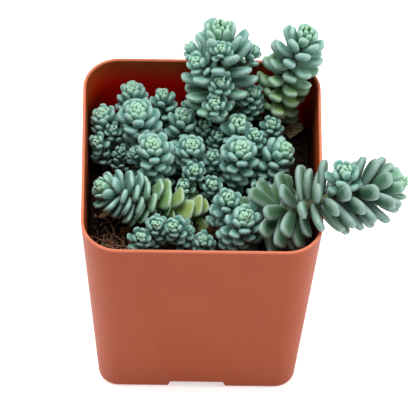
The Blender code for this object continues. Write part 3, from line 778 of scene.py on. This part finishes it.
# %% The shoots of this plant
Shoot = namedtuple("Shoot", "name kind root tip aim size rise reach", defaults=((0, 0, 5), 5.0))
STEMS = (
    ("back_tall", "tall", (5.5, 16.5), (4.0, 27.0, 78.2), (0, 0.3, 1), 1.0, (0, 1.5, 10), 10.0),
    ("back_right", "leaning", (15.6, 21.4), (24.8, 26.0, 78.0), (0.25, 0.05, 1), 1.0, (0.5, 0, 10), 9.0),
    ("trailing_right", "trailing", (12.5, -9.5), (46.3, -12.7, 71.0), (0.9, 0.15, 0.34), 1.0,
     (5.5, -8.5, 24.0), 14.0),
    ("trailing_left", "creeping", (0.5, -6.5), (-24.0, -7.0, 60.0), (-0.7, 0.05, 0.7), 1.0,
     (-5.0, -0.5, 6.5), 8.0),
)
BRANCHES = {
    "back_tall": (
        (8.3, (4.3, 20.9, 77.6), (0, -0.6, 0.8), 1.0, (0, -3.1, 0.3), 2.0),
        (12.6, (-1.8, 20.6, 72.8), (-0.35, -0.5, 0.8), 1.3, (-2.0, -2.2, 0.6), 2.6),
        (18.8, (4.1, 16.6, 70.0), (0, -0.6, 0.8), 1.15, (0, -3.6, 0.3), 2.2),
        (24.8, (3.0, 13.4, 65.6), (-0.1, -0.6, 0.8), 1.25, (0, -3.1, 0.5), 2.6),
        (15.6, (12.6, 25.2, 71.8), (0.6, 0.2, 0.8), 1.05, (3.5, 0.3, 0.6), 2.5),
        (12.0, (-3.3, 27.0, 69.8), (-0.6, 0.3, 0.75), 1.15, (-2.6, 0.5, 0.9), 2.0),
    ),
    "trailing_right": ((13.8, (32.9, -13.6, 76.0), (0, -0.25, 1), 1.6, (0, 0.6, 1.7), 3.5),),
}
HEADS = (
    ("left_big", (-14.5, 12.8), (-15.6, 13.7, 62.5), (-0.1, -0.1, 1), 1.18),
    ("middle_right", (9.0, 5.0), (9.5, 3.4, 61.8), (0.1, -0.1, 1), 1.1),
    ("middle_left", (-11.0, 5.0), (-11.7, 3.8, 62.0), (-0.05, -0.15, 1), 1.08),
    ("right", (15.2, 5.6), (20.2, 6.2, 58.0), (0.75, 0.1, 0.65), 1.04),
    ("front_right", (8.6, -14.2), (10.2, -17.0, 62.0), (0.2, -0.4, 0.9), 1.12),
    ("middle", (-2.6, 6.8), (-2.5, 5.2, 60.0), (0, -0.15, 1), 0.9),
    ("back_left", (-15.8, 20.6), (-16.8, 23.0, 59.0), (-0.05, 0.15, 1), 0.86),
    ("left_wall", (-21.0, 13.8), (-24.0, 15.4, 59.0), (-0.25, 0.05, 1), 0.84),
)
YOUNG = (
    ("right_back", (8.9, 12.2), (8.9, 10.8, 61.5), (0, -0.15, 1), 1.45),
    ("middle_back", (-4.6, 13.6), (-4.5, 15.6, 58.3), (0, -0.1, 1), 1.3),
    ("front_upright", (5.4, -9.8), (6.3, -11.5, 62.0), (0, -0.15, 1), 1.25),
    ("back_left_small", (-8.8, 20.0), (-9.3, 21.9, 58.2), (-0.1, 0.15, 1), 1.12),
    ("back_bud_right", (12.0, 18.4), (12.2, 18.8, 63.5), (0.2, -0.5, 0.85), 1.0),
    ("right_bud", (16.4, 14.2), (16.8, 13.8, 57.5), (0, -0.4, 0.9), 0.95),
    ("right_back_small", (13.4, 11.4), (12.8, 8.9, 59.6), (0.2, -0.2, 1), 0.9),
    ("middle_front_bud", (-1.8, 2.0), (-1.8, -0.3, 57.5), (0, -0.55, 0.85), 1.0),
    ("front_left", (-10.6, -14.0), (-10.8, -16.4, 57.6), (-0.1, -0.5, 0.85), 1.0),
    ("front_middle", (-4.6, -14.6), (-7.0, -16.9, 57.5), (-0.5, -0.4, 0.8), 1.04),
)
BUDS = (
    ("fading", (-3.4, -0.8), (-4.4, -2.4, 54.0), (-0.3, -0.3, 0.9), 1.15),
    ("left_wall_bud", (-20.2, 9.2), (-21.3, 11.2, 58.0), (0, -0.5, 0.85), 0.95),
    ("back_bud_left", (-2.6, 19.6), (-2.1, 20.2, 58.5), (-0.1, -0.5, 0.85), 1.12),
    ("back_bud_middle", (1.4, 12.6), (1.1, 13.8, 56.5), (0, -0.5, 0.85), 1.16),
    ("middle_left_bud", (-16.4, 6.2), (-16.2, 4.4, 58.0), (-0.4, -0.4, 0.85), 0.9),
    ("middle_bud", (3.2, 5.0), (2.7, 3.8, 57.5), (-0.1, -0.4, 0.9), 1.1),
    ("middle_back_bud", (3.9, 9.4), (3.9, 10.7, 56.6), (0, -0.5, 0.85), 1.05),
    ("left_corner_bud", (-23.2, 8.4), (-25.2, 8.4, 56.8), (-0.2, -0.5, 0.85), 1.2),
    ("left_low_bud", (-19.4, 6.0), (-19.2, 7.6, 54.4), (0, -0.5, 0.85), 0.85),
    ("low_bud", (2.9, -1.0), (2.6, -2.2, 54.5), (0, -0.5, 0.85), 1.2),
    ("right_low_bud", (13.6, -2.2), (13.6, -3.2, 55.0), (0, -0.45, 0.9), 1.15),
    ("right_low_bud_small", (17.4, -1.0), (17.3, -1.9, 52.8), (0.2, -0.4, 0.85), 0.75),
    ("front_left_low", (-14.2, -17.2), (-14.3, -18.1, 55.0), (0, -0.45, 0.9), 1.3),
    ("front_low", (0.4, -15.8), (0.3, -17.4, 53.0), (-0.1, -0.2, 1), 1.24),
)
SHOOTS = []
for stem in STEMS:
    SHOOTS.append(Shoot(*stem))
    for number, (below_tip, *row) in enumerate(BRANCHES.get(stem[0], ()), 1):
        SHOOTS.append(Shoot(f"{stem[0]}_branch_{number}", "side", (stem[0], below_tip), *row))
for kind, rows in (("head", HEADS), ("young", YOUNG), ("bud", BUDS)):
    SHOOTS += [Shoot(name, kind, *row) for name, *row in rows]
print(len(SHOOTS), "shoots and branches")

# %% The line of a stem
CURVE_POINTS = 60


def square_to(way, vector):
    """The part of a vector at a right angle to a way, with length 1."""
    return (vector - way * vector.dot(way)).normalized()


class StemLine:
    """The middle line of a shoot, measured down from its tip."""

    def __init__(self, shoot, root):
        aim = Vector(shoot.aim).normalized()
        tip = Vector(shoot.tip) * MM
        handles = (root, root + Vector(shoot.rise) * MM, tip - aim * shoot.reach * MM, tip)
        self.points = [self.curve(handles, 1 - i / CURVE_POINTS) for i in range(CURVE_POINTS + 1)]
        self.below = [0.0]
        for a, b in zip(self.points, self.points[1:]):
            self.below.append(self.below[-1] + (b - a).length)
        self.length = self.below[-1]
        side = aim.orthogonal().normalized()
        self.sides = []
        for i in range(len(self.points)):
            side = square_to(self.ahead(i), side)
            self.sides.append(side)

    @staticmethod
    def curve(handles, t):
        a, b, c, d = handles
        return a * (1 - t) ** 3 + b * 3 * t * (1 - t) ** 2 + c * 3 * t * t * (1 - t) + d * t ** 3

    def ahead(self, i):
        """The way to the tip, at one of the points."""
        return (self.points[max(i - 1, 0)] - self.points[min(i + 1, CURVE_POINTS)]).normalized()

    def at(self, down):
        """The point, the way to the tip and the way to one side, at a distance below the tip."""
        i = 0
        while i < CURVE_POINTS - 1 and self.below[i + 1] < down:
            i += 1
        part = (down - self.below[i]) / (self.below[i + 1] - self.below[i])
        point = self.points[i].lerp(self.points[i + 1], part)
        ahead = self.ahead(i).lerp(self.ahead(i + 1), min(part, 1.0)).normalized()
        return point, ahead, square_to(ahead, self.sides[i].lerp(self.sides[i + 1], min(part, 1.0)))


stem_lines = {}
for shoot in SHOOTS:
    if isinstance(shoot.root[0], str):
        parent, below_tip = shoot.root
        root = stem_lines[parent].at(below_tip * MM)[0]
    else:
        x, y = (value * MM for value in shoot.root)
        root = Vector((x, y, soil_top(x, y)))
    stem_lines[shoot.name] = StemLine(shoot, root)
print("longest stem", round(max(line.length for line in stem_lines.values()) / MM), "mm")

# %% [markdown]
# ## One leaf
#
# The leaves of this sedum are plump beans: narrow where they join the stem, widest past the middle,
# blunt at the end, flatter on the face that looks at the tip, and curled a little towards it. A sphere
# already has the rounded ends. Its rings are scaled one by one to the leaf's outline, its upper side is
# flattened, and each ring is shifted along the curl. With two such leaves, a broad one and a slim one,
# stretched a little differently in each place, no two look alike. A leaf is repeated well over a
# thousand times, so it has only 80 faces.

# %% Model the two leaves
LEAF_SEGMENTS = 10
LEAF_RINGS = 8
FULLNESS = 2.9
NEARLY = 0.001
RIM_FROM = 0.8


def squared(x, y):
    """How much further out a point lies on a ring with fuller corners than a round one."""
    round_off = (abs(x) ** FULLNESS + abs(y) ** FULLNESS) ** (1 / FULLNESS)
    return math.hypot(x, y) / max(round_off, 1e-9)


def leaf_shape(name, girths, flatness, curl):
    """A leaf of length, width and thickness 1 along +Z, with +Y its upper face, from a sphere's rings."""
    leaf = add_piece(name, bpy.ops.mesh.primitive_uv_sphere_add, segments=LEAF_SEGMENTS,
                     ring_count=LEAF_RINGS, radius=0.5, location=(0, 0, 0.5))
    for vert in leaf.data.vertices:
        fuller = squared(vert.co.x, vert.co.y)
        vert.co.x *= fuller
        vert.co.y *= fuller
    with edit_mode():
        for ring, girth in enumerate(girths, 1):
            height = 0.5 - 0.5 * math.cos(math.pi * ring / LEAF_RINGS)
            select_points(leaf, lambda co: abs(co.z - height) < NEARLY)
            bpy.ops.transform.resize(value=(girth, girth, 1), center_override=(0, 0, height))
            bpy.ops.transform.translate(value=(0, curl * height ** 2, 0))
        select_points(leaf, lambda co: co.y > curl * co.z ** 2 + 10 * NEARLY)
        bpy.ops.transform.resize(value=(1, flatness, 1), center_override=(0, curl / 3, 0))
    # Pale edges: a number along the sides and the blunt end, for bloom and a painted highlight there.
    edge_bloom_and_highlights = []
    for vert in leaf.data.vertices:
        if vert.co.z > 1 - NEARLY:
            vert.co.y = curl
        ring = [other.co.x for other in leaf.data.vertices if abs(other.co.z - vert.co.z) < NEARLY]
        edge_bloom_and_highlights.append(max(abs(vert.co.x) / max(ring + [0.01]), (vert.co.z - RIM_FROM) / (1 - RIM_FROM)) ** 2)
    mark_points(leaf, "edge_bloom_and_highlight", edge_bloom_and_highlights)
    return leaf


plump_leaf = leaf_shape("plump_leaf", (0.86, 0.82, 0.86, 0.96, 1.08, 1.30, 1.65), 0.70, 0.36)
broad_leaf = leaf_shape("broad_leaf", (0.88, 0.80, 0.83, 0.93, 1.08, 1.36, 1.90), 0.60, 0.26)
print("a leaf has", len(plump_leaf.data.polygons), "faces")

# %% [markdown]
# ## The kinds of shoot
#
# Eight kinds cover the plant: the tall stem at the back, the one that leans, the one that trails, the one
# that creeps, the large heads, the young heads, the side shoots and the buds. Each has its own full-grown
# leaf, and its own rule for how soon below the tip the leaves reach that size and how far they open,
# from the youngest, which lean in over the tip, to the oldest, whose size may differ again.

# %% Leaf sizes and angles of each kind
Kind = namedtuple("Kind", "leaf count leafy stem dome growing opening angles first oldest",
                  defaults=((1, 1, 1),))
KINDS = {
    "tall": Kind((8.8, 3.4, 2.6), 84, 33.0, 1.7, 3.0, 9.5, 15.0, (6, 74, 80), 0.27, (1.22, 1.0, 1.0)),
    "leaning": Kind((6.6, 3.3, 2.6), 70, 31.0, 1.4, 2.8, 8.0, 12.0, (6, 68, 84), 0.30),
    "trailing": Kind((9.0, 3.9, 2.9), 118, 46.0, 1.8, 3.2, 9.0, 12.0, (6, 54, 88), 0.26, (1.0, 1.0, 0.9)),
    "creeping": Kind((6.0, 2.8, 2.1), 84, 31.0, 1.4, 2.6, 5.8, 7.0, (4, 54, 124), 0.36, (0.95, 2.3, 0.5)),
    "head": Kind((4.9, 2.5, 1.95), 60, 16.5, 1.3, 2.2, 4.6, 7.0, (4, 62, 78), 0.39),
    "young": Kind((3.3, 1.85, 1.45), 36, 10.5, 0.95, 1.6, 3.4, 5.4, (2, 66, 74), 0.42),
    "side": Kind((2.8, 1.6, 1.25), 19, 4.2, 0.85, 1.4, 2.4, 4.0, (0, 66, 74), 0.46),
    "bud": Kind((2.5, 1.5, 1.2), 25, 8.5, 0.72, 1.2, 2.2, 4.0, (0, 66, 74), 0.46),
}
GOLDEN_ANGLE = math.radians(137.508)
TIP_CROWDING = 1.12
LEAFY_MOST = 0.93
TRIES = ((1.0, 0), (1.0, -16), (0.88, 0), (0.88, -24), (0.76, -8), (0.76, -32), (0.62, -16))
DROOP = {"trailing": 0.72, "creeping": 0.30}


def eased(part):
    part = clamped(part)
    return part * part * (3 - 2 * part)


# %% [markdown]
# ## Growing them
#
# Each leaf's frame points along the leaf, across it, and up from its face. One matrix made of those
# three, times its length, width and thickness, puts a copy of the leaf in its place. A leaf that would
# go through the pot's wall or the soil, or deep into another shoot, leans towards its tip or is made
# smaller, and is left off if that isn't enough, as a crowded leaf is on the plant. On the stems that
# trail or creep the leaves droop as well, the further down the stem the more.

# %% Where there is room for a leaf
CELL = 2.5 * MM
LARGEST_BALL = 2.0 * MM
ROOM_NEEDED = 0.78
ROOM_IN_FAMILY = 0.45
LEAF_BEND, TIP_BEND = 0.4, 0.42
BALLS_AT = (0.4, 0.65, 0.88)
TIPS_AT = (0.5, 0.75, 0.95)
taken_room = {}


def cells_near(point, reach):
    spans = [[math.floor((value + way * reach) / CELL) for way in (-1, 1)] for value in point]
    return product(*(range(low, high + 1) for low, high in spans))


def family(name):
    """The shoot that a branch belongs to."""
    return name.split("_branch")[0]


def along_leaf(place, bend, parts):
    """Points along the middle of a leaf, which bends up towards its end."""
    return [place @ Vector((0, bend * part * part, part)) for part in parts]


def takes_room(owner, place, girth):
    """Three balls along a leaf, which stand for the room that it takes."""
    return [(owner, point, girth / 2) for point in along_leaf(place, LEAF_BEND, BALLS_AT)]


def is_free(balls):
    for owner, point, radius in balls:
        for cell in cells_near(point, radius + LARGEST_BALL):
            for other, middle, other_radius in taken_room.get(cell, ()):
                if other == owner:
                    continue
                needed = ROOM_IN_FAMILY if family(other) == family(owner) else ROOM_NEEDED
                if (point - middle).length < (radius + other_radius) * needed:
                    return False
    return True


def is_in_the_open(points, radius):
    """Whether points of a leaf, each with some room round it, clear the soil and the pot's wall."""
    for x, y, z in points:
        if z < soil_top(x, y) + radius * 0.5:
            return False
        outside = max(abs(x), abs(y))
        if z < POT_HEIGHT + radius and outer_half(z) - WALL - radius < outside < outer_half(z) + radius:
            return False
        if z < POT_HEIGHT and outside < outer_half(z) and depth_behind(x, y, z) < WALL + radius:
            return False
    return True


# %% Put the leaves on a shoot
YELLOWING = {"trailing_left": 0.65, "back_right": 0.6, "trailing_right": 0.08, "fading": 0.7,
             "back_tall": 0.15}
YELLOWING_ELSEWHERE = 0.05
OLD_FROM, OLD_OVER = 0.22, 0.6
# How dark green the grown leaves of a shoot get: partly rubbed-off bloom, partly painted shade.
RUBBED_AND_SHADED = {"trailing_right": 1.0, "back_right": 0.2, "back_tall": 0.2}
IN_SOIL = 2.5 * MM
LENGTHS_VARY, WIDTHS_VARY, ANGLES_VARY = (0.93, 1.06), (0.94, 1.05), (-4, 4)
BASE_OUT, BASE_IN = 0.75, 0.08
leaf_draw = random.Random(7)


def leaf_place(kind, scale, line, number, size, lean, droop):
    """The matrix of a leaf, its width, how grown it is, and how far down the leafy stem it stands."""
    leafy = min(kind.leafy * scale, line.length * LEAFY_MOST)
    down = leafy * ((number + 0.3) / kind.count) ** TIP_CROWDING
    point, ahead, side = line.at(down)
    turn = number * GOLDEN_ANGLE
    out = side * math.cos(turn) + ahead.cross(side) * math.sin(turn)
    part = min(down / (kind.dome * scale), 1.0)
    radius = kind.stem * scale * math.sqrt(1 - (1 - part) ** 2)
    opened = eased(down / (kind.opening * scale))
    youngest, full_grown, oldest = kind.angles
    angle = between(youngest, between(full_grown, oldest, down / leafy), opened)
    angle = math.radians(angle + leaf_draw.uniform(*ANGLES_VARY) + lean)
    along = ahead * math.cos(angle) + out * math.sin(angle)
    along = (along - Vector((0, 0, droop * down / leafy))).normalized()
    across = square_to(along, ahead.cross(out))
    upper = along.cross(across)
    grown = eased(down / (kind.growing * scale))
    young = between(kind.first, 1.0, grown) * size
    length, width, thick = (value * scale * young * between(1.0, last, down / leafy)
                            for value, last in zip(kind.leaf, kind.oldest))
    length *= leaf_draw.uniform(*LENGTHS_VARY)
    width *= leaf_draw.uniform(*WIDTHS_VARY)
    base = point + out * radius * BASE_OUT - along * length * BASE_IN
    columns = ((across, width), (upper, thick), (along, length), (base, 1.0))
    place = Matrix([[way[i] * size for way, size in columns] for i in range(3)] + [(0, 0, 0, 1)])
    return place, width, grown, down / leafy


def leaves_of(shoot):
    """Copies of the leaf in their places on a shoot, with numbers for their material."""
    kind, line, scale = KINDS[shoot.kind], stem_lines[shoot.name], shoot.size * MM
    shape = broad_leaf if shoot.kind in ("trailing", "creeping", "leaning") else plump_leaf
    droop = DROOP.get(shoot.kind, 0.0)
    shoot_tint = leaf_draw.random()
    made = []
    for number in range(kind.count):
        tint = between(shoot_tint, leaf_draw.random(), 0.5)
        for size, lean in TRIES:
            place, width, grown, down = leaf_place(kind, scale, line, number, size, lean, droop)
            balls = takes_room(shoot.name, place, width)
            tips = along_leaf(place, TIP_BEND, TIPS_AT)
            if is_in_the_open(tips, width * 0.4) and is_free(balls):
                break
        else:
            continue
        for ball in balls:
            cell = tuple(math.floor(value / CELL) for value in ball[1])
            taken_room.setdefault(cell, []).append(ball)
        old = YELLOWING.get(shoot.name, YELLOWING_ELSEWHERE) * eased((down - OLD_FROM) / OLD_OVER)
        rubbed = RUBBED_AND_SHADED.get(shoot.name, 0.0) * grown
        made.append(copy_to(shape, place, grown=grown, old=old, tint=tint, rubbed=rubbed))
    return made


def stem_of(shoot):
    """The stem, round and thinner at its tip. One that stands in the soil goes a little way into it."""
    kind, line, scale = KINDS[shoot.kind], stem_lines[shoot.name], shoot.size * MM
    below = 0.0 if "_branch" in shoot.name else IN_SOIL
    first = 1.3 * kind.dome * scale
    steps = max(4, round((line.length + below - first) / MM))
    points = [line.at(between(first, line.length + below, i / steps))[0] for i in range(steps + 1)]
    radii = [min(1.0, 0.4 + 0.15 * i) for i in range(steps + 1)]
    return curve_piece("stem_" + shoot.name, kind.stem * scale * 0.9, 2, points, radii)


# %% Grow every shoot
leaf_look, leaf_tree = new_material("sedum_leaf_waxy_bloom")
stem_look, stem_tree = new_material("sedum_stem")
for shape in (plump_leaf, broad_leaf):
    shape.data.materials.append(leaf_look)
grown_pieces = {}
for shoot in reversed(SHOOTS):
    stem = stem_of(shoot)
    stem.data.materials.append(stem_look)
    grown_pieces[shoot.name] = leaves_of(shoot) + [stem]
leaf_count = sum(len(pieces) - 1 for pieces in grown_pieces.values())
print(leaf_count, "leaves")
for shoot in SHOOTS:
    if family(shoot.name) != shoot.name:
        grown_pieces[family(shoot.name)] += grown_pieces.pop(shoot.name)
for name, pieces in grown_pieces.items():
    finish_piece(join_all("sedum_" + name, pieces), "sedum_leaf", "shoot_" + name)
for shape in (plump_leaf, broad_leaf):
    bpy.data.objects.remove(shape)

# %% [markdown]
# ## The leaf's finish
#
# The leaf is green flesh under a coat of pale wax powder, the bloom, which makes it look blue-grey and
# matt, and whitens it towards its edges; the paler edges are also a painted highlight, as where light
# grazes them. The bloom is thickest on grown leaves, and is rubbed off where a stem has been handled;
# that darker green is partly painted shade as well, strongest on the trailing stem at the right. The
# youngest leaves, in the middle of each head, are a fresher and yellower green, and old ones low on the
# stem first lose their blue and then turn straw yellow. The flesh lets light through, which lifts the
# shadows between the leaves.

# %% Waxy leaf and stem
def fill_leaf(tree):
    grown, old, tint, edge_bloom_and_highlight, rubbed = (
        number_on(tree, name) for name in ("grown", "old", "tint", "edge_bloom_and_highlight", "rubbed"))
    powder = noise_on(tree, 1500.0, 4.0, 0.6)
    colour = mixed(tree, tint, "#548a82", "#70a298")
    # Darker green: partly rubbed-off bloom, partly painted shade.
    colour = mixed(tree, rubbed, colour, "#295238")
    colour = mixed(tree, grown, "#8fc293", colour)
    colour = mixed(tree, ranged(tree, old, 0.0, 1.0, end=0.5), colour, "#86ac5c")
    colour = mixed(tree, ranged(tree, old, 0.0, 1.0, start=0.5), colour, "#b3a05c")
    # Paler edges: partly bloom, partly a painted highlight.
    colour = mixed(tree, ranged(tree, edge_bloom_and_highlight, 0.0, 0.5, start=0.2), colour, "#c0dcd6")
    colour = mixed(tree, ranged(tree, powder, 0.16, 0.0, 0.42, 0.62), colour, "#4f7f72")
    values = {"IOR": 1.42, "Specular IOR Level": 0.35, "Subsurface Weight": 0.04,
              "Subsurface Radius": (0.5, 1.0, 0.6), "Subsurface Scale": 0.0007,
              "Sheen Weight": 0.12, "Sheen Roughness": 0.4, "Sheen Tint": hex_colour("#d8efe8")}
    add_surface(tree, values, colour, rough=ranged(tree, powder, 0.45, 0.65), height=powder,
                relief=(0.15, 0.00006))


fill_leaf(leaf_tree)
colour = mixed(stem_tree, noise_on(stem_tree, 700.0, 3.0), "#4c6540", "#6a6442")
add_surface(stem_tree, {"Roughness": 0.6, "IOR": 1.42}, colour)

# %% [markdown]
# ## The stage
#
# A plain white floor and large soft lights, as for a picture in a catalogue. The floor is a sheet of
# milky acrylic lit a little from below, so that the shadow on it fades to white.

# %% Floor and lights
FLOOR_SIZE = 6.0
FLOOR_DROP = 0.05 * MM
PLANT = Vector((0.0, 0.0, 0.05))
LIGHTS = (("light_above", (-0.15, 0.3, 1.5), 1.0, 27.0), ("light_left", (-0.9, 0.1, 0.35), 0.5, 3.0),
          ("light_right", (0.8, -0.15, 0.6), 0.5, 4.8))
ROOM_LIGHT = 0.22


def soft_light(name, place, size, power):
    """A square softbox that faces the plant."""
    light = add_object(name, bpy.data.lights.new(name, "AREA"))
    light.data.size = size
    light.data.energy = power
    light.location = place
    light.rotation_mode = "QUATERNION"
    light.rotation_quaternion = (PLANT - Vector(place)).to_track_quat("-Z", "Y")


def milky_acrylic():
    made, tree = new_material("milky_acrylic_sheet")
    add_surface(tree, {"Base Color": hex_colour("#fcfcfc"), "Roughness": 0.9, "Specular IOR Level": 0.1,
                       "Emission Color": hex_colour("#ffffff"), "Emission Strength": 0.55})
    return made


floor = add_piece("floor", bpy.ops.mesh.primitive_plane_add, size=FLOOR_SIZE, location=(0, 0, -FLOOR_DROP))
floor.data.materials.append(milky_acrylic())

for light in LIGHTS:
    soft_light(*light)
world = bpy.data.worlds.new("studio")
world.use_nodes = True
background = world.node_tree.nodes["Background"].inputs
background["Color"].default_value = hex_colour("#ffffff")
background["Strength"].default_value = ROOM_LIGHT
bpy.context.scene.world = world
bpy.context.scene.view_settings.view_transform = "Standard"
print(len(LIGHTS), "soft lights")
